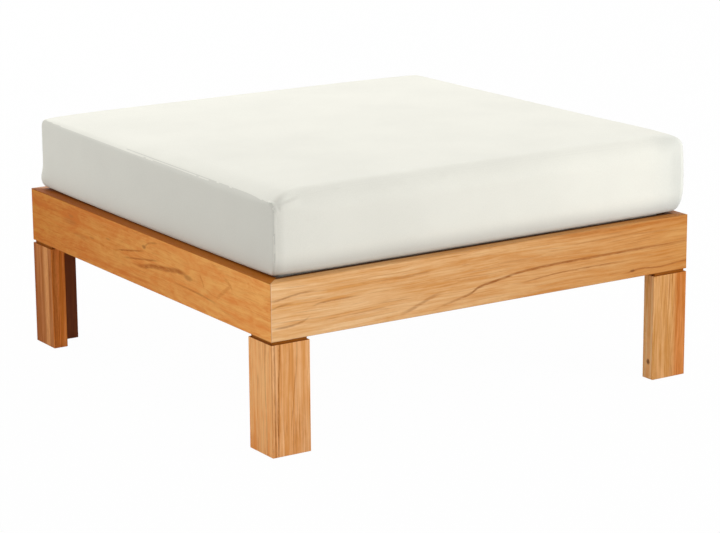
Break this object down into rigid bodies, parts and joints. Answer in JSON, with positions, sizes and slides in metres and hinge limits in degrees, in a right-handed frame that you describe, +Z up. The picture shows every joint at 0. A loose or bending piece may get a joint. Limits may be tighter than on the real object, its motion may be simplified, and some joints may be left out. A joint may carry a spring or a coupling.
{
  "type": "outdoor ottoman footstool",
  "caption": "Low square teak ottoman with a mitred frame, L-shaped corner legs set off by a shadow groove, a slatted deck and a loose thick cushion that lifts off.",
  "frame": {"origin": "on the floor, under the middle of the four legs", "axes": "+Z up; the front rail faces -Y and the right rail faces +X; the cushion's zip is at the back, facing +Y"},
  "size_m": [0.8, 0.8, 0.402],
  "materials": {
    "teak": "satin",
    "inner_teak": "matte",
    "stainless_screws": "satin",
    "cover_fabric": "matte",
    "foam": "matte",
    "zip_tape": "matte",
    "zip_metal": "satin"
  },
  "bodies": {
    "ottoman_frame": {"back_left_block_screw_a": "stainless_screws", "back_left_block_screw_b": "stainless_screws", "back_left_corner_block": "inner_teak", "back_left_leg_back_board": "teak", "back_left_leg_left_board": "teak", "back_left_leg_spline": "inner_teak", "back_left_rail_spline": "inner_teak", "back_rail": "teak", "back_right_block_screw_a": "stainless_screws", "back_right_block_screw_b": "stainless_screws", "back_right_corner_block": "inner_teak", "back_right_leg_back_board": "teak", "back_right_leg_right_board": "teak", "back_right_leg_spline": "inner_teak", "back_right_rail_spline": "inner_teak", "centre_bearer": "inner_teak", "deck_slat_1": "inner_teak", "deck_slat_10": "inner_teak", "deck_slat_2": "inner_teak", "deck_slat_3": "inner_teak", "deck_slat_4": "inner_teak", "deck_slat_5": "inner_teak", "deck_slat_6": "inner_teak", "deck_slat_7": "inner_teak", "deck_slat_8": "inner_teak", "deck_slat_9": "inner_teak", "front_left_block_screw_a": "stainless_screws", "front_left_block_screw_b": "stainless_screws", "front_left_corner_block": "inner_teak", "front_left_leg_front_board": "teak", "front_left_leg_left_board": "teak", "front_left_leg_spline": "inner_teak", "front_left_rail_spline": "inner_teak", "front_rail": "teak", "front_right_block_screw_a": "stainless_screws", "front_right_block_screw_b": "stainless_screws", "front_right_corner_block": "inner_teak", "front_right_leg_front_board": "teak", "front_right_leg_right_board": "teak", "front_right_leg_spline": "inner_teak", "front_right_rail_spline": "inner_teak", "left_ledger": "inner_teak", "left_ledger_screw_1": "stainless_screws", "left_ledger_screw_2": "stainless_screws", "left_ledger_screw_3": "stainless_screws", "left_ledger_screw_4": "stainless_screws", "left_rail": "teak", "right_ledger": "inner_teak", "right_ledger_screw_1": "stainless_screws", "right_ledger_screw_2": "stainless_screws", "right_ledger_screw_3": "stainless_screws", "right_ledger_screw_4": "stainless_screws", "right_rail": "teak"},
    "cushion": {"back_zip_lower_tape": "zip_tape", "back_zip_upper_tape": "zip_tape", "cushion_cover": "cover_fabric", "cushion_foam": "foam"},
    "zip_slider": {"back_zip_slider": "zip_metal"},
    "zip_pull": {"back_zip_pull": "zip_metal"}
  },
  "joints": [
    {"name": "cushion_lift", "type": "slide", "parent": "ottoman_frame", "child": "cushion", "axis": [0, 0, 1], "range_m": [0, 0.2]},
    {"name": "zip_slide", "type": "slide", "parent": "cushion", "child": "zip_slider", "axis": [-1, 0, 0], "range_m": [0, 0.59]},
    {"name": "zip_pull_swing", "type": "hinge", "parent": "zip_slider", "child": "zip_pull", "pos_m": [0.295, 0.3945, 0.3425], "axis": [0, 0, -1], "range_deg": [0, 180]}
  ]
}
